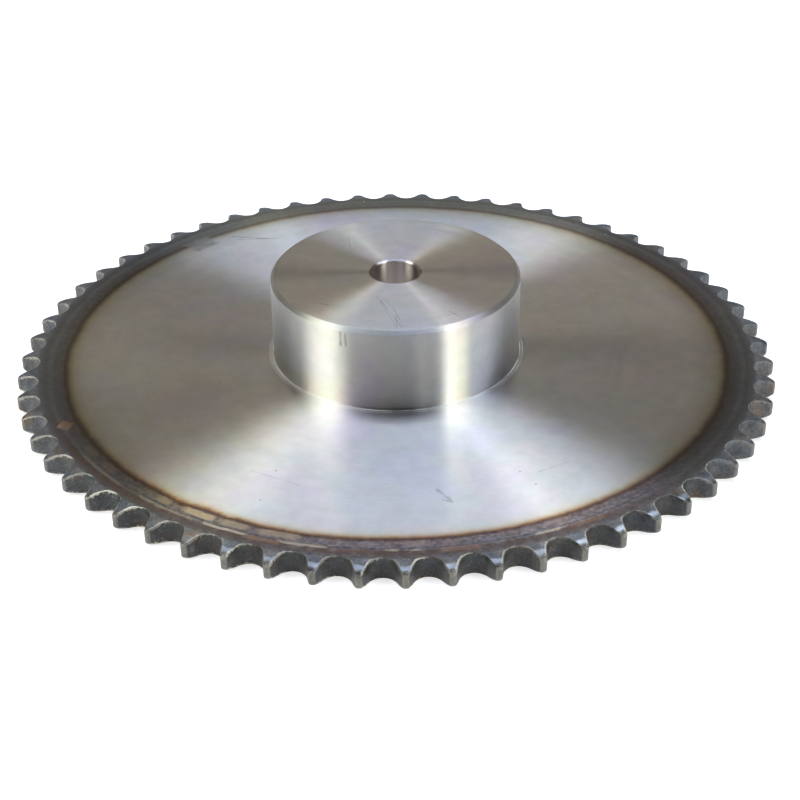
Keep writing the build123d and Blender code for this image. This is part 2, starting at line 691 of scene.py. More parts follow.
# %% Lathe marks
lathe_marks, entry, leave = start_group(
    "lathe_marks", {"Strength": 1.0}, {"Shade": FLOAT, "Height": FLOAT}
)
rings = [(0.5, 5.0, 0.5), (0.9, 1.6, 0.32), (0.7, 0.35, 0.28)]
total = 0.0
for seed, (around, across, share) in enumerate(rings):
    ring = place_group(lathe_marks, round_noise, Around=around, Across=across, Seed=3.7 * seed)
    centred = calculate(lathe_marks, "SUBTRACT", ring["Value"], 0.5)
    total = calculate(lathe_marks, "MULTIPLY_ADD", centred, share, total)
shade = times(lathe_marks, total, entry["Strength"])
feed(lathe_marks, leave["Shade"], calculate(lathe_marks, "ADD", shade, 1.0))
feed(lathe_marks, leave["Height"], total)
print("lathe_marks adds", len(rings), "widths of rings")

# %% [markdown]
# ### Heat colours and scale
#
# The rim looks as if it was heated and then quenched. Steel that gets warm grows a thin film of
# oxide, straw at first, then brown and violet, and where it glowed it has a dark scale. So the
# colours lie in rings, and a colour ramp over the radius gives them. Heat doesn't stop at a clean
# line, and round noise moves the rings in and out a little. They aren't quite round the axis
# either: they lie further out at the front and the back.

# %% Where the heat reached
heat_colours, entry, leave = start_group("heat_colours", {}, {"Tint": COLOUR})
place = place_group(heat_colours, wheel_place)
slow = place_group(heat_colours, round_noise, Around=7.0, Across=0.02, Seed=1.3)["Value"]
quick = place_group(heat_colours, round_noise, Around=36.0, Across=0.3, Seed=8.1)["Value"]
waver = times(heat_colours, calculate(heat_colours, "SUBTRACT", slow, 0.5), 1.1)
quick = calculate(heat_colours, "SUBTRACT", quick, 0.5)
waver = calculate(heat_colours, "MULTIPLY_ADD", quick, 0.8, waver)
unsteady = between(heat_colours, place["Angle"], 231.0, 252.0, 5.0)
unsteady = calculate(heat_colours, "MULTIPLY_ADD", unsteady, 1.3, 1.0)
wavy_radius = calculate(heat_colours, "MULTIPLY_ADD", waver, unsteady, place["Radius"])
for first, last, soft, outwards in ((254.0, 292.0, 8.0, 0.25), (60.0, 126.0, 14.0, 0.5)):
    further_out = between(heat_colours, place["Angle"], first, last, soft)
    wavy_radius = calculate(heat_colours, "MULTIPLY_ADD", further_out, -outwards, wavy_radius)
print("the heat's reach takes", len(heat_colours.nodes), "nodes")

# %% [markdown]
# A ramp holds how much of the bare steel's brightness is left, in red, green and blue. There are
# two. At the front the film has a vivid brown fringe, as if it had been hotter there. Elsewhere it
# fades in more slowly and stays duller.

# %% Heat colours
front_film = [
    (101.0, (1, 1, 1, 1)),
    (104.2, (0.99, 0.98, 0.95, 1)),
    (105.6, (0.96, 0.92, 0.82, 1)),
    (106.5, (0.89, 0.80, 0.64, 1)),
    (107.0, (0.79, 0.66, 0.47, 1)),
    (107.5, (0.64, 0.45, 0.27, 1)),
    (108.0, (0.40, 0.235, 0.135, 1)),
    (108.4, (0.22, 0.13, 0.095, 1)),
    (108.8, (0.17, 0.115, 0.10, 1)),
    (109.2, (0.20, 0.16, 0.15, 1)),
    (109.6, (0.265, 0.225, 0.215, 1)),
    (110.1, (0.305, 0.27, 0.26, 1)),
    (111.3, (0.265, 0.245, 0.25, 1)),
    (112.3, (0.265, 0.25, 0.255, 1)),
    (112.9, (0.155, 0.148, 0.16, 1)),
    (113.4, (0.265, 0.26, 0.27, 1)),
    (114.2, (0.225, 0.205, 0.20, 1)),
    (115.0, (0.18, 0.16, 0.155, 1)),
    (115.8, (0.142, 0.128, 0.123, 1)),
    (117.0, (0.142, 0.134, 0.130, 1)),
    (118.0, (0.17, 0.165, 0.17, 1)),
]
side_film = [
    (97.0, (1, 1, 1, 1)),
    (103.0, (0.87, 0.87, 0.82, 1)),
    (105.5, (0.77, 0.735, 0.61, 1)),
    (106.5, (0.61, 0.565, 0.435, 1)),
    (107.0, (0.49, 0.45, 0.335, 1)),
    (107.5, (0.385, 0.325, 0.245, 1)),
    (108.0, (0.28, 0.215, 0.175, 1)),
    (108.6, (0.215, 0.175, 0.15, 1)),
    (109.3, (0.265, 0.235, 0.21, 1)),
    (110.0, (0.27, 0.25, 0.23, 1)),
    (112.0, (0.235, 0.222, 0.21, 1)),
    (113.4, (0.25, 0.235, 0.215, 1)),
    (114.1, (0.18, 0.168, 0.155, 1)),
    (115.0, (0.118, 0.11, 0.098, 1)),
    (116.0, (0.115, 0.108, 0.098, 1)),
    (118.0, (0.16, 0.152, 0.146, 1)),
]
at_front = between(heat_colours, place["Angle"], 222.0, 312.0, 14.0)
front_tint = ramp(heat_colours, wavy_radius, front_film)
side_tint = ramp(heat_colours, wavy_radius, side_film)
feed(heat_colours, leave["Tint"], mixed(heat_colours, at_front, side_tint, front_tint))
print("heat colours:", len(front_film), "stops at the front and", len(side_film), "elsewhere")

# %% [markdown]
# ### The skin of the teeth
#
# The reliefs of the teeth and the walls of the gaps carry the rim's scale too. They are dull and
# dark, and no two look the same: some are blue-grey, and some brown or rusty, as if the scale had
# not held there. Blotches of three sizes give the shade and the hue.

# %% The skin of the teeth
skin_inputs = {"Dark": 0.1, "Light": 0.3, "Wear": 1.0}
skin_outputs = {"Colour": COLOUR, "Patchiness": FLOAT, "Wear and highlight": FLOAT, "Front": FLOAT}
tooth_skin, entry, leave = start_group("tooth_skin", skin_inputs, skin_outputs)
coarse = blotches(tooth_skin, 4.0, 4.0)
fine = blotches(tooth_skin, 0.8, 3.0)
patchy = calculate(tooth_skin, "MULTIPLY_ADD", fine, 0.4, times(tooth_skin, coarse, 0.6))
shade = rescale(tooth_skin, patchy, 0.36, 0.64)
span = calculate(tooth_skin, "SUBTRACT", entry["Light"], entry["Dark"])
shade = calculate(tooth_skin, "MULTIPLY_ADD", shade, span, entry["Dark"])
hue = blotches(tooth_skin, 7.0, 3.0)
skin_hues = [
    (0.34, (0.90, 0.98, 1.08, 1)),
    (0.48, (1.0, 1.0, 1.0, 1)),
    (0.60, (1.08, 0.98, 0.90, 1)),
    (0.70, (1.30, 0.96, 0.72, 1)),
]
colour = shaded(tooth_skin, ramp(tooth_skin, hue, skin_hues), shade)
print("tooth_skin takes", list(skin_inputs), "and gives", list(skin_outputs))

# %% [markdown]
# Where an edge is rubbed, pale steel shows, and the same pale colour paints highlights on edges.
# The mesh says where its edges are, by the note named worn, and fine blotches make the pale
# places ragged. One side of each tooth has pale edges and the other is nearly whole, partly as a
# chain pulling one way would rub them and partly as painted highlights where light catches them.
# The sine of sixty turns round the wheel tells the two sides apart. Some teeth are paler than
# others, and the front teeth most of all, as painted highlights.

# %% Where the teeth are rubbed
pale_edge_colour = (0.88, 0.80, 0.66, 1)
angle = place_group(tooth_skin, wheel_place)["Angle"]
turns = calculate(tooth_skin, "RADIANS", times(tooth_skin, angle, float(tooth_count)))
# Painted highlight and wear: one side of each tooth gets the pale edges.
pale_side = rescale(tooth_skin, calculate(tooth_skin, "SINE", turns), -0.3, 0.5, 0.2, 1.0)
edge = tooth_skin.nodes.new("ShaderNodeAttribute")
edge.attribute_name = "worn"
ragged = rescale(tooth_skin, calculate(tooth_skin, "MULTIPLY_ADD", fine, 1.2, coarse), 0.85, 1.3)
reach = calculate(tooth_skin, "MULTIPLY_ADD", ragged, 0.9, edge.outputs["Fac"])
rubbed = rescale(tooth_skin, reach, 0.84, 1.24)
some_teeth = rescale(tooth_skin, blotches(tooth_skin, 9.0, 2.0), 0.42, 0.60, 0.35, 1.0)
at_front = between(tooth_skin, angle, 216.0, 318.0, 10.0)
# Painted highlight: the pale edges are strongest on the front teeth.
highlight_at_front = rescale(tooth_skin, at_front, 0.0, 1.0, 0.28, 1.0)
rubbed = times(tooth_skin, rubbed, some_teeth, pale_side, highlight_at_front, entry["Wear"])
feed(tooth_skin, leave["Colour"], mixed(tooth_skin, rubbed, colour, pale_edge_colour))
feed(tooth_skin, leave["Patchiness"], patchy)
feed(tooth_skin, leave["Wear and highlight"], rubbed)
feed(tooth_skin, leave["Front"], at_front)
print("tooth_skin has", len(tooth_skin.nodes), "nodes")

# %% [markdown]
# ## Turned steel
#
# The first finish is made up of layers, from the steel outwards. The base is a light grey metal
# with lathe marks. Then come faint stains, the heat colours, the places where the scale has been
# rubbed through, scratches and specks, and last the skin on the reliefs of the teeth.
#
# Its sheen is anisotropic: the fine grooves spread the light across themselves and hardly along
# themselves. That is what draws the bright and dark wedges on the faces and the upright bands on
# the hub. The Tangent node tells the shader which way the grooves run, from the strip map.

# %% Start the turned steel
def start_material(name, roughness, anisotropic):
    """A metal whose grooves run round the wheel. Returns the material, its tree and shader."""
    material = bpy.data.materials.new(name)
    material.use_nodes = True
    tree = material.node_tree
    shader = tree.nodes["Principled BSDF"]
    shader.inputs["Metallic"].default_value = 1
    shader.inputs["Roughness"].default_value = roughness
    shader.inputs["Anisotropic"].default_value = anisotropic
    shader.inputs["Anisotropic Rotation"].default_value = 0.25
    grooves = tree.nodes.new("ShaderNodeTangent")
    grooves.direction_type = "UV_MAP"
    grooves.uv_map = strip_map
    tree.links.new(grooves.outputs["Tangent"], shader.inputs["Tangent"])
    return material, tree, shader


def add_bump(tree, shader, height, strength, depth):
    """Lets a height change the shader's normal. Depth is in metres."""
    relief = tree.nodes.new("ShaderNodeBump")
    relief.inputs["Strength"].default_value = strength
    relief.inputs["Distance"].default_value = depth
    feed(tree, relief.inputs["Height"], height)
    feed(tree, shader.inputs["Normal"], relief.outputs["Normal"])


disc_colour = (0.785, 0.755, 0.725, 1)
hub_colour = (0.73, 0.695, 0.65, 1)
turned_steel, steel, steel_shader = start_material("bright_steel", 0.3, 1.0)
place = place_group(steel, wheel_place)
marks = place_group(steel, lathe_marks, Strength=0.16)
on_hub = rescale(steel, place["Height"], disc_thickness + 0.3, disc_thickness + 1.0)
off_hub = calculate(steel, "SUBTRACT", 1.0, on_hub)
base = shaded(steel, mixed(steel, on_hub, disc_colour, hub_colour), marks["Shade"])
print("bright_steel starts with", len(steel.nodes), "nodes")

# %% [markdown]
# Handling and cooling oil can leave stains that are only just there: a little pink here, a little
# green there. Wide blotches drive a ramp from one to the other, and smaller ones dull it a
# little. At the back it is darker still, and more so towards the rim.

# %% Faint stains
wide = blotches(steel, 22.0, 2.0)
hues = [
    (0.34, (1.015, 0.965, 1.025, 1)),
    (0.45, (1.02, 0.996, 0.975, 1)),
    (0.55, (0.98, 1.012, 0.985, 1)),
    (0.66, (0.98, 0.99, 1.045, 1)),
]
base = shaded(steel, base, ramp(steel, wide, hues))
small = blotches(steel, 5.0, 4.0)
dulled = rescale(steel, small, 0.35, 0.65, 0.955, 1.035)
base = shaded(steel, base, dulled)
at_back = between(steel, place["Angle"], 60.0, 126.0, 14.0)
darker_at_back = rescale(steel, place["Radius"], 84.0, 98.0, 0.13, 0.20, smooth=True)
base = mixed(steel, times(steel, darker_at_back, at_back, off_hub), base, grey(0))
print("stains:", len(hues), "hues")

# %% [markdown]
# The heat colours darken the base. In the scaled band the streaks are much stronger than on
# bright steel, as if scale had flaked off along the grooves.

# %% Heat colours and streaks in the scale
tint = place_group(steel, heat_colours)["Tint"]
base = shaded(steel, base, tint)
in_scale = rescale(steel, place["Radius"], 108.0, 109.5, smooth=True)
streaks = place_group(steel, round_noise, Around=26.0, Across=1.3, Seed=5.0)["Value"]
fine_streaks = place_group(steel, round_noise, Around=60.0, Across=4.5, Seed=9.0)["Value"]
streak = calculate(steel, "MULTIPLY_ADD", fine_streaks, 0.45, streaks)
streak_shade = rescale(steel, streak, 0.5, 0.95, 0.84, 1.18)
at_front = between(steel, place["Angle"], 226.0, 312.0, 16.0)
unevenness = times(steel, in_scale, rescale(steel, at_front, 0.0, 1.0, 0.3, 1.0))
base = mixed(steel, unevenness, base, shaded(steel, base, streak_shade))
hue = place_group(steel, round_noise, Around=16.0, Across=1.4, Seed=2.0)["Value"]
scale_hues = [
    (0.36, (0.94, 0.96, 1.08, 1)),
    (0.50, (1.0, 0.98, 0.98, 1)),
    (0.64, (1.09, 0.99, 0.90, 1)),
]
hued = shaded(steel, base, ramp(steel, hue, scale_hues))
hued = mixed(steel, unevenness, base, hued)
side_cast = mixed(steel, at_front, (0.95, 1.0, 1.03, 1), (1.03, 0.98, 0.97, 1))
base = mixed(steel, in_scale, base, shaded(steel, hued, side_cast))
print("scale:", len(scale_hues), "hues")

# %% [markdown]
# Scale is never even. Fine blotches mottle it, most of all at the front. At the back it is paler,
# at the front left browner, and at the right darker. Outside the thin dark ring it is a deep
# brown, as if it had started to rust.

# %% Mottling and rust
mottle = blotches(steel, 1.3, 4.0)
mottled = shaded(steel, base, rescale(steel, mottle, 0.34, 0.66, 0.68, 1.34))
base = mixed(steel, unevenness, base, mottled)
paler = rescale(steel, place["Radius"], 114.0, 116.0, 1.18, 1.6)
paler = shaded(steel, paler, (1.0, 0.99, 0.82, 1))
paler = shaded(steel, base, paler)
base = mixed(steel, times(steel, at_back, in_scale), base, paler)
for first, last, cast in ((222.0, 252.0, (0.86, 0.89, 0.78, 1)), (320.0, 350.0, grey(0.83))):
    there = times(steel, between(steel, place["Angle"], first, last, 9.0), in_scale)
    base = mixed(steel, there, base, shaded(steel, base, cast))
rust_brown = (0.105, 0.062, 0.045, 1)
rust = times(
    steel,
    between(steel, place["Radius"], 113.9, 116.3, 0.5),
    between(steel, place["Angle"], 204.0, 303.0, 8.0),
    rescale(steel, blotches(steel, 3.2, 3.0), 0.36, 0.56, 0.15, 0.85),
)
base = mixed(steel, rust, base, rust_brown)
print("with the rust:", len(steel.nodes), "nodes")

# %% [markdown]
# ### Where the scale is rubbed through
#
# Two rows of paler patches go round the band, one on each side of a thin dark ring, as if the
# wheel had turned against something. They are strong along the front left and rare elsewhere.
# Each row is a range of the radius, and a ramp over the angle says how strong it is where. The
# angle and the radius are shaken with noise first, so that no patch has a ruled edge.

# %% Rows of rubbed patches
shake = calculate(steel, "SUBTRACT", blotches(steel, 1.6, 4.0), 0.5)
shaken_angle = calculate(steel, "MULTIPLY_ADD", shake, 1.6, place["Angle"])
shaken_radius = calculate(steel, "MULTIPLY_ADD", shake, 0.9, place["Radius"])


def patch_stops(patches, border=0.35):
    """Turns patches, given as first degree, last degree and strength, into stops of a ramp."""
    stops = [(180.0, grey(0))]
    for first, last, strength in patches:
        stops.append((first - border, grey(0)))
        stops.append((first + border, grey(strength)))
        stops.append((last - border, grey(strength)))
        stops.append((last + border, grey(0)))
    return stops + [(330.0, grey(0))]


def rubbed_row(tree, base, inner, outer, patches, colour):
    """Lays a row of rubbed patches over the base colour."""
    in_row = between(tree, shaken_radius, inner, outer, 0.22)
    along_row = ramp(tree, shaken_angle, patch_stops(patches))
    broken = rescale(tree, fine_streaks, 0.32, 0.6, 0.5, 1.0)
    return mixed(tree, times(tree, in_row, along_row, broken), base, colour)


inner_row = [(211.0, 214.5, 0.3), (217.2, 220.2, 0.3), (230.4, 233.0, 0.6), (235.6, 241.0, 1.0)]
inner_row += [(242.0, 246.6, 0.55), (248.6, 254.6, 0.6), (270.0, 273.0, 0.3)]
outer_row = [(213.0, 224.0, 0.3), (228.0, 238.5, 0.4), (240.2, 247.0, 1.0), (252.0, 258.8, 0.9)]
outer_row += [(267.8, 269.0, 0.9), (270.8, 272.1, 0.9), (288.9, 293.0, 0.8)]
rust_row = [(247.6, 252.4, 0.9), (259.5, 266.0, 0.3), (275.0, 280.5, 0.7), (294.4, 299.8, 0.6)]
base = rubbed_row(steel, base, 109.4, 112.0, inner_row, (0.54, 0.41, 0.25, 1))
base = rubbed_row(steel, base, 113.1, 114.2, outer_row, (0.54, 0.45, 0.32, 1))
base = rubbed_row(steel, base, 113.6, 115.2, rust_row, (0.27, 0.15, 0.085, 1))
print("rubbed patches:", len(inner_row) + len(outer_row) + len(rust_row))

# %% [markdown]
# At the left there is a copper-brown diamond, as if a single flake of scale had come off. Its four
# sides are one sum: the distance along the ring plus the distance across it stays the same.

# %% The flake
def diamond(tree, angle, radius, half_degrees, half_width):
    """Gives 1 inside a diamond on the face and 0 outside it."""
    aside = calculate(tree, "ABSOLUTE", calculate(tree, "SUBTRACT", place["Angle"], angle))
    across = calculate(tree, "ABSOLUTE", calculate(tree, "SUBTRACT", place["Radius"], radius))
    aside = calculate(tree, "DIVIDE", aside, half_degrees)
    sides = calculate(tree, "ADD", aside, calculate(tree, "DIVIDE", across, half_width))
    rough_sides = calculate(tree, "MULTIPLY_ADD", shake, 0.4, sides)
    return rescale(tree, rough_sides, 0.92, 1.06, 1.0, 0.0, smooth=True)


flake = diamond(steel, 203.7, 112.5, 1.6, 2.9)
flake_shade = ramp(steel, small, [(0.35, (0.26, 0.17, 0.115, 1)), (0.65, (0.42, 0.28, 0.20, 1))])
base = mixed(steel, flake, base, flake_shade)
print("with the flake:", len(steel.nodes), "nodes")

# %% [markdown]
# At the back left a grey smear lies across the band, as if something wet had dried on it.

# %% The smear
dried_grey = (0.34, 0.33, 0.30, 1)
smear = times(
    steel,
    between(steel, shaken_angle, 128.8, 134.2, 0.8),
    between(steel, shaken_radius, 102.4, 110.0, 1.0),
    rescale(steel, small, 0.36, 0.6, 0.45, 0.9),
)
base = mixed(steel, smear, base, dried_grey)
print("with the smear:", len(steel.nodes), "nodes")

# %% [markdown]
# ### Scratches
#
# Scratches are few and each has its own place, so each is one group node with the two ends of a
# line. The group measures how far a point lies from that line, and its noise breaks the line up.

# %% The scratch group
scratch_inputs = {"X1": 0.0, "Y1": 0.0, "X2": 1.0, "Y2": 1.0, "Width": 0.2}
scratch, entry, leave = start_group("scratch", scratch_inputs, {"Mask": FLOAT})
where = scratch.nodes.new("ShaderNodeTexCoord").outputs["Object"]
parts = scratch.nodes.new("ShaderNodeSeparateXYZ")
scratch.links.new(where, parts.inputs[0])
from_x = times(scratch, parts.outputs["X"], to_mm)
from_x = calculate(scratch, "SUBTRACT", from_x, entry["X1"])
from_y = times(scratch, parts.outputs["Y"], to_mm)
from_y = calculate(scratch, "SUBTRACT", from_y, entry["Y1"])
line_x = calculate(scratch, "SUBTRACT", entry["X2"], entry["X1"])
line_y = calculate(scratch, "SUBTRACT", entry["Y2"], entry["Y1"])
squares = times(scratch, line_x, line_x)
squares = calculate(scratch, "MULTIPLY_ADD", line_y, line_y, squares)
dot = times(scratch, from_x, line_x)
dot = calculate(scratch, "MULTIPLY_ADD", from_y, line_y, dot)
share = rescale(scratch, calculate(scratch, "DIVIDE", dot, squares), 0.0, 1.0)
off_x = calculate(scratch, "SUBTRACT", from_x, times(scratch, line_x, share))
off_y = calculate(scratch, "SUBTRACT", from_y, times(scratch, line_y, share))
squares = times(scratch, off_x, off_x)
squares = calculate(scratch, "MULTIPLY_ADD", off_y, off_y, squares)
distance = calculate(scratch, "SQRT", squares)
near = rescale(scratch, calculate(scratch, "DIVIDE", distance, entry["Width"]), 0.4, 1.0, 1.0, 0.0)
broken = rescale(scratch, blotches(scratch, 3.0, 2.0), 0.32, 0.55, 0.3, 1.0)
feed(scratch, leave["Mask"], times(scratch, near, broken))
print("a scratch takes", list(scratch_inputs))

# %% [markdown]
# The hub's top has a bundle of fine scratches at the front and a few by themselves. The flat of
# the disc has some as well, and a few wider, darker scuffs. The numbers are the ends of each line
# in millimetres, its width, and how dark it is.

# %% Scratches on the hub and the disc
hub_scratches = [
    (-5.1, -19.4, 1.4, -37.7, 0.16, 0.45),
    (-3.2, -19.4, 2.0, -37.1, 0.13, 0.35),
    (-6.3, -16.6, -0.2, -37.7, 0.14, 0.40),
    (-1.4, -23.5, 0.6, -31.4, 0.13, 0.40),
    (-0.6, -28.7, -0.1, -36.4, 0.16, 0.45),
    (-15.3, 25.3, -14.6, 18.4, 0.22, 0.35),
    (16.2, -27.5, 18.8, -30.8, 0.2, 0.45),
    (-24.5, -20.5, -21.4, -22.0, 0.3, 0.35),
]
disc_scratches = [
    (-44.3, -72.7, -36.8, -76.7, 0.22, 0.35),
    (-36.8, -76.7, -29.7, -81.2, 0.18, 0.25),
    (40.2, -76.6, 49.6, -71.6, 0.2, 0.35),
    (10.1, -84.8, 13.7, -90.0, 0.8, 0.30),
    (11.6, -89.9, 14.2, -91.0, 0.5, 0.30),
    (-59.4, 85.3, -46.4, 82.9, 0.42, 0.5),
    (-57.9, 82.9, -43.6, 83.0, 0.32, 0.4),
]


def scratched(tree, base, scratches, low, high):
    """Darkens the base along the scratches, at heights between low and high."""
    at_level = between(tree, place["Height"], low, high, 0.05)
    for x1, y1, x2, y2, width, depth in scratches:
        mask = place_group(tree, scratch, X1=x1, Y1=y1, X2=x2, Y2=y2, Width=width)["Mask"]
        base = mixed(tree, times(tree, mask, at_level, depth), base, grey(0.06))
    return base


base = scratched(steel, base, hub_scratches, overall_length - 0.1, overall_length + 1)
base = scratched(steel, base, disc_scratches, disc_thickness - 0.2, disc_thickness + 0.2)
print(len(hub_scratches) + len(disc_scratches), "scratches")

# %% [markdown]
# Two dark rubs stand upright on the side of the hub, near its top, such as a gripping jaw leaves.

# %% Rubs on the hub's side
on_side = between(steel, place["Radius"], hub_radius - 0.3, hub_radius + 0.1, 0.05)
for angle, low, high, half_degrees in ((244.2, 28.2, 33.5, 0.55), (246.5, 28.6, 33.2, 0.6)):
    rub = times(
        steel,
        between(steel, shaken_angle, angle - half_degrees, angle + half_degrees, 0.3),
        between(steel, place["Height"], low, high, 0.7),
        on_side,
        rescale(steel, small, 0.4, 0.6, 0.2, 0.65),
    )
    base = mixed(steel, rub, base, grey(0.12))
print("with the rubs:", len(steel.nodes), "nodes")

# %% [markdown]
# Two bright hairlines go round the foot of the hub: painted highlights, such as its rounded corner
# would catch from a lamp. At the front the disc is painted darker near the corner, a painted
# reflection of the dark hub.

# %% The foot of the hub
# Painted reflection: the disc is darker near the hub's foot at the front.
hub_reflection_at_front = between(steel, place["Angle"], 254.0, 284.0, 9.0)
near_foot = rescale(steel, place["Radius"], 43.5, 49.0, 0.5, 0.0)
base = mixed(steel, times(steel, hub_reflection_at_front, near_foot, off_hub), base, grey(0))
# Painted highlights: two bright lines round the foot of the hub.
highlight_lines = calculate(
    steel, "ADD",
    between(steel, place["Radius"], 40.72, 41.0, 0.1),
    between(steel, place["Radius"], 41.65, 41.85, 0.1),
)
uneven = rescale(steel, small, 0.35, 0.55, 0.35, 0.9)
highlight_lines = times(steel, highlight_lines, uneven, off_hub)
highlight_pale = (0.86, 0.86, 0.82, 1)
base = mixed(steel, highlight_lines, base, highlight_pale)
print("with the hub's foot:", len(steel.nodes), "nodes")

# %% [markdown]
# Dust and tiny dents are specks. A Voronoi texture gives each small cell a middle and a random
# colour. Only the few cells whose colour is high get a speck, pale or dark.

# %% Specks
def specks(tree, cell, size, rarity, seed):
    """Gives 1 on rare small specks. Cell and size are in millimetres."""
    where = tree.nodes.new("ShaderNodeTexCoord").outputs["Object"]
    placed = tree.nodes.new("ShaderNodeMapping")
    placed.inputs["Location"].default_value = (seed, seed, 0)
    tree.links.new(where, placed.inputs["Vector"])
    cells = tree.nodes.new("ShaderNodeTexVoronoi")
    cells.inputs["Scale"].default_value = to_mm / cell
    tree.links.new(placed.outputs["Vector"], cells.inputs["Vector"])
    chosen = tree.nodes.new("ShaderNodeSeparateColor")
    tree.links.new(cells.outputs["Color"], chosen.inputs["Color"])
    chosen = calculate(tree, "GREATER_THAN", chosen.outputs["Red"], rarity)
    spot = rescale(tree, cells.outputs["Distance"], size / cell * 0.5, size / cell, 1.0, 0.0)
    return times(tree, spot, chosen)


dust = (0.9, 0.88, 0.82, 1)
dirt = (0.12, 0.11, 0.10, 1)
pale_specks = times(steel, specks(steel, 5.0, 0.45, 0.93, 0.0), 0.5)
dark_specks = times(steel, specks(steel, 4.0, 0.5, 0.95, 0.013), 0.4, off_hub)
base = mixed(steel, pale_specks, base, dust)
base = mixed(steel, dark_specks, base, dirt)
print("with the specks:", len(steel.nodes), "nodes")

# %% [markdown]
# The face of a tooth curves down past the flat. It has the skin of the teeth, and at the front, in
# the middle of the curve, a blue-grey painted highlight in nearly bare metal. Nearer the tip it is
# darker again, painted shade for the dark that the curve mirrors there.

# %% The reliefs of the teeth
skin = place_group(steel, tooth_skin, Dark=0.08, Light=0.20, Wear=1.0)
wandering = calculate(steel, "MULTIPLY_ADD", shake, 1.4, place["Radius"])
on_relief = rescale(steel, wandering, flat_radius - 0.7, flat_radius + 0.3, smooth=True)
# Painted shade: the skin darkens towards the tip, a painted dark reflection.
painted_tip_shade = rescale(steel, place["Radius"], 122.3, 123.0, 1.0, 0.45)
skin_colour = shaded(steel, skin["Colour"], painted_tip_shade)
# Painted highlight: a blue-grey band in the middle of the curve, at the front only.
highlight_blue_grey = (0.62, 0.67, 0.73, 1)
painted_highlight = times(
    steel,
    between(steel, wandering, 120.6, 122.1, 0.5),
    between(steel, place["Angle"], 247.0, 316.0, 9.0),
    rescale(steel, small, 0.38, 0.58, 0.45, 1.0),
)
skin_colour = mixed(steel, painted_highlight, skin_colour, highlight_blue_grey)
base = mixed(steel, on_relief, base, skin_colour)
print("with the reliefs:", len(steel.nodes), "nodes")

# %% [markdown]
# ### Roughness, bareness and bump
#
# Scale is rougher than bright steel. The hub is smoother than the disc, but its side is a little
# coarser than its top and its chamfer coarser still. The lathe marks change the roughness from
# ring to ring.

# %% The roughness of the turned steel
disc_roughness = 0.38
hub_roughness = 0.3
scale_roughness = 0.42
roughness = rescale(steel, place["Radius"], 108.0, 116.0, disc_roughness, scale_roughness)
roughness = calculate(steel, "MULTIPLY_ADD", on_hub, hub_roughness - disc_roughness, roughness)
on_hub_rim = between(steel, place["Radius"], chamfer_inset - 0.1, hub_radius + 0.2, 0.05)
on_chamfer = rescale(steel, place["Height"], chamfer_foot - 0.1, chamfer_foot + 0.1)
on_chamfer = times(steel, on_hub_rim, on_chamfer)
roughness = calculate(steel, "MULTIPLY_ADD", on_chamfer, 0.12, roughness)
roughness = calculate(steel, "MULTIPLY_ADD", on_hub_rim, 0.05, roughness)
ringed = calculate(steel, "MULTIPLY_ADD", marks["Height"], 0.16, roughness)
feed(steel, steel_shader.inputs["Roughness"], ringed)
print("roughness: disc", disc_roughness, "hub", hub_roughness, "scale", scale_roughness)

# %% [markdown]
# Bare steel is a metal, but scale hides it and gets thicker towards the teeth, so it looks less
# and less like one. The painted highlight on the reliefs is nearly bare metal, and the painted
# highlights of the hairlines, bright from every side, count as hardly metal. The bump is very
# shallow: it only makes the edges of the bright wedges uneven from ring to ring.

# %% Finish the turned steel
bare_stops = [(108.5, grey(1)), (110.0, grey(0.95)), (113.2, grey(0.78)), (115.8, grey(0.28))]
bareness = ramp(steel, place["Radius"], bare_stops)
bareness = mixed(steel, times(steel, painted_highlight, on_relief), bareness, grey(0.95))
bareness = mixed(steel, highlight_lines, bareness, grey(0.1))
feed(steel, steel_shader.inputs["Metallic"], bareness)
feed(steel, steel_shader.inputs["Base Color"], base)
add_bump(steel, steel_shader, marks["Height"], strength=0.25, depth=0.05 / to_mm)
print("bright_steel has", len(steel.nodes), "nodes")

# %% [markdown]
# ### The walls of the gaps
#
# The walls have only the skin of the teeth. They are the darkest and dullest part of the wheel,
# apart from the narrow ends of the teeth, which are paler. Away from the front they are painted
# lighter, painted light that stands in for the light from the front falling on the walls there.

# %% The finish of the gap walls
gap_walls, wall, wall_shader = start_material("gap_walls", 0.5, 0.3)
skin = place_group(wall, tooth_skin, Dark=0.035, Light=0.11, Wear=0.85)
# Painted light: away from the front the walls are made up to 2.1 times lighter.
painted_side_light = rescale(wall, skin["Front"], 0.0, 1.0, 2.1, 1.0)
wall_colour = shaded(wall, skin["Colour"], painted_side_light)
on_tip = rescale(wall, place_group(wall, wheel_place)["Radius"], 123.0, 123.5, 0.0, 0.85)
on_tip = times(wall, on_tip, rescale(wall, skin["Patchiness"], 0.35, 0.6, 0.4, 1.0))
pale_tip_colour = (0.34, 0.31, 0.265, 1)
wall_colour = mixed(wall, on_tip, wall_colour, pale_tip_colour)
feed(wall, wall_shader.inputs["Base Color"], wall_colour)
feed(wall, wall_shader.inputs["Metallic"], rescale(wall, skin["Wear and highlight"], 0.0, 1.0, 0.3, 0.5))
feed(wall, wall_shader.inputs["Roughness"], rescale(wall, skin["Patchiness"], 0.35, 0.65, 0.42, 0.62))
add_bump(wall, wall_shader, skin["Patchiness"], strength=0.5, depth=0.1 / to_mm)
print("gap_walls has", len(wall.nodes), "nodes")

# %% [markdown]
# The two finishes go onto the piece in the order in which its faces were numbered.

# %% Put the finishes on
for material in (turned_steel, gap_walls):
    wheel_mesh.materials.append(material)
print("finishes:", [material.name for material in wheel_mesh.materials])

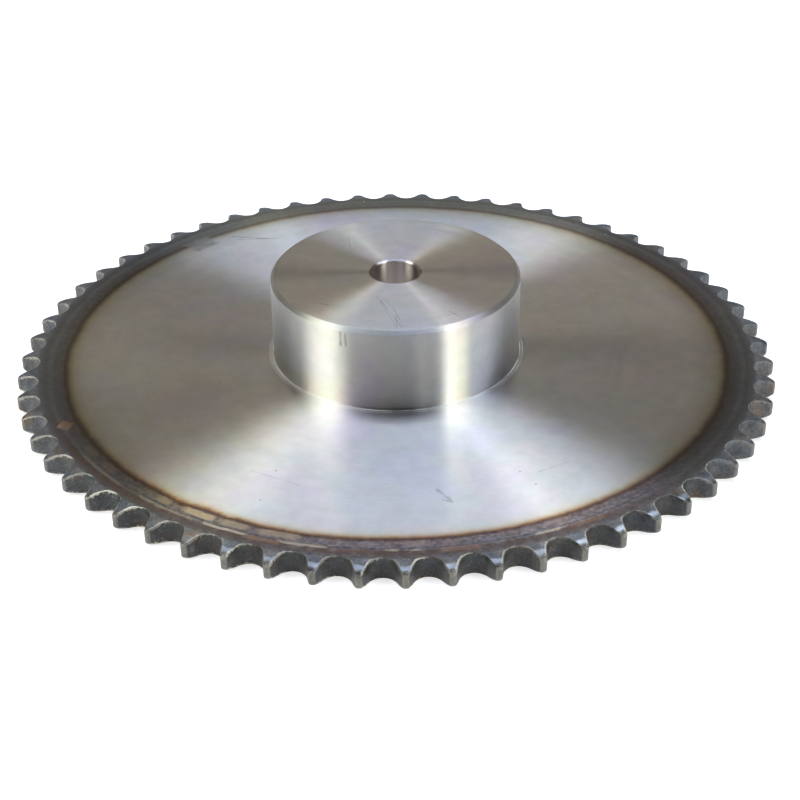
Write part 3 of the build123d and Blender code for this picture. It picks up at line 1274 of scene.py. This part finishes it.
# %% [markdown]
# ## The camera
#
# The camera looks down on the wheel from the front, at about thirty degrees. It is close, a
# little over half a metre from the wheel, which is why the near teeth look so much larger than
# the far ones. Its place and the point it looks at are given, and to_track_quat turns it to look
# from one to the other. The last small turn about its own axis is the tilt of the horizon.

# %% Place the camera
camera_place = Vector((-6.9, -496.2, 289.2)) / to_mm
looked_at = Vector((5.1, -34.5, 7.2)) / to_mm
horizon_tilt = math.radians(-0.427)

camera_data = bpy.data.cameras.new("camera")
camera_data.lens = 77.34
camera_data.sensor_width = 36
camera_data.shift_x = -0.0186
camera_data.clip_start = 0.01
camera = add_object("camera", camera_data)
camera.location = camera_place
sight = (looked_at - camera_place).to_track_quat("-Z", "Y")
camera.rotation_euler = (sight @ Quaternion((0, 0, 1), horizon_tilt)).to_euler()
bpy.context.scene.camera = camera
print("camera", round((camera_place - looked_at).length, 4), "m from the point it looks at")

# %% [markdown]
# ## The floor
#
# The wheel lies on a large, plain, pale floor. To the camera the floor should look evenly white,
# though the light on it isn't even, so part of its brightness is emission. Light Path tells the
# material who is asking: the camera, and the mirror-like rays that metal sends out, get the
# white floor. All other rays get a plain matt one, and so the wheel's shadow stays.

# %% Lay the floor
floor_size = 30.0
floor_gap = 0.0002
floor_colour = (0.8, 0.8, 0.8, 1)
floor_glow = 0.72

floor_shape = bmesh.new()
bmesh.ops.create_grid(floor_shape, x_segments=1, y_segments=1, size=floor_size / 2)
bmesh.ops.translate(floor_shape, vec=(0, 0, -floor_gap), verts=floor_shape.verts[:])
floor_mesh = bpy.data.meshes.new("floor")
floor_shape.to_mesh(floor_mesh)
floor_shape.free()
add_object("floor", floor_mesh)

floor_material = bpy.data.materials.new("pale_floor")
floor_material.use_nodes = True
floor_tree = floor_material.node_tree
surface = floor_tree.nodes["Principled BSDF"]
surface.inputs["Base Color"].default_value = floor_colour
surface.inputs["Roughness"].default_value = 1.0
surface.inputs["Specular IOR Level"].default_value = 0.0
surface.inputs["Emission Color"].default_value = (1, 1, 1, 1)
asked_by = floor_tree.nodes.new("ShaderNodeLightPath").outputs
seen = calculate(floor_tree, "MAXIMUM", asked_by["Is Camera Ray"], asked_by["Is Glossy Ray"])
feed(floor_tree, surface.inputs["Emission Strength"], times(floor_tree, seen, floor_glow))
floor_mesh.materials.append(floor_material)
print("floor", floor_size, "m wide")

# %% [markdown]
# ## The light
#
# Turned metal looks like what it mirrors, so it is lit by soft panels in a dim room. Each panel
# makes a bright wedge on the disc and a bright band on the hub, and the dim gaps between them make
# the dark ones. Two panels hang at the left, one bright and one faint, and two at the right, a
# long strip and a low square. A bluish one hangs overhead, a small one stands in front, and two
# weak ones at the back light the far side.
#
# All of them face the wheel from the same distance, the overhead one a little aside. A lamp
# doesn't hide another one, so they may overlap. Aim is given as the direction seen from the
# wheel, and radiance instead of watts, so that a panel can change its size and keep its
# brightness.

# %% Hang the panels
lamp_distance = 0.9


def hang_panel(name, aim, size, radiance, colour, tilt=0.0, aside=(0.0, 0.0)):
    """Hangs a soft rectangular lamp. Aim is its angle round the wheel and above the floor."""
    lamp_data = bpy.data.lights.new(name, "AREA")
    lamp_data.shape = "RECTANGLE"
    lamp_data.size, lamp_data.size_y = size
    lamp_data.energy = radiance * math.pi * size[0] * size[1]
    lamp_data.color = colour
    lamp = add_object(name, lamp_data)
    turn = Matrix.Rotation(math.radians(aim[0] + 90), 4, "Z")
    raise_up = Matrix.Rotation(math.radians(90 - aim[1]), 4, "X")
    roll = Matrix.Rotation(math.radians(tilt), 4, "Z")
    away = Matrix.Translation((*aside, lamp_distance))
    lamp.matrix_world = turn @ raise_up @ roll @ away
    lamp.visible_camera = False


hang_panel("left_panel", (201.6, 27.9), (0.600, 0.382), 4.35, (0.98, 1.0, 0.84), tilt=-23.7)
hang_panel("left_fill", (180.3, 35.3), (0.936, 0.641), 0.22, (0.96, 1.0, 0.90), tilt=45.9)
hang_panel("right_panel", (322.8, 39.9), (0.077, 1.577), 3.75, (0.94, 0.98, 1.08), tilt=-21.8)
hang_panel("low_panel", (323.5, 18.1), (0.297, 0.365), 4.25, (1.0, 1.02, 0.74), tilt=-15.2)
hang_panel(
    "top_panel", (270.0, 90.0), (1.490, 0.389), 3.6, (0.87, 1.0, 1.29), tilt=2.6, aside=(0.118, 0.121)
)
hang_panel("front_panel", (291.7, 26.4), (0.077, 0.169), 2.2, (0.98, 0.98, 1.05), tilt=-12.6)
hang_panel("back_panel", (76.7, 40.4), (0.623, 0.400), 0.46, (1.04, 1.0, 0.94), tilt=-1.5)
hang_panel("back_strip", (109.7, 38.9), (0.099, 0.427), 1.45, (1.07, 0.99, 0.86), tilt=9.6)

# %% [markdown]
# The room itself gives hardly any light. To the camera it has the floor's own paleness, so that no
# horizon shows in a low view. The Standard view shows colours as they are, with no film look.

# %% Dim the room
room = bpy.data.worlds.new("room")
bpy.context.scene.world = room
room.use_nodes = True
room_tree = room.node_tree
room_light = (0.01, 0.0088, 0.0055, 1)
asked_by = room_tree.nodes.new("ShaderNodeLightPath").outputs
backdrop = mixed(room_tree, asked_by["Is Camera Ray"], room_light, grey(floor_glow))
feed(room_tree, room_tree.nodes["Background"].inputs["Color"], backdrop)
bpy.context.scene.view_settings.view_transform = "Standard"
print("room", room_light[:3], "seen by the camera as", floor_glow)
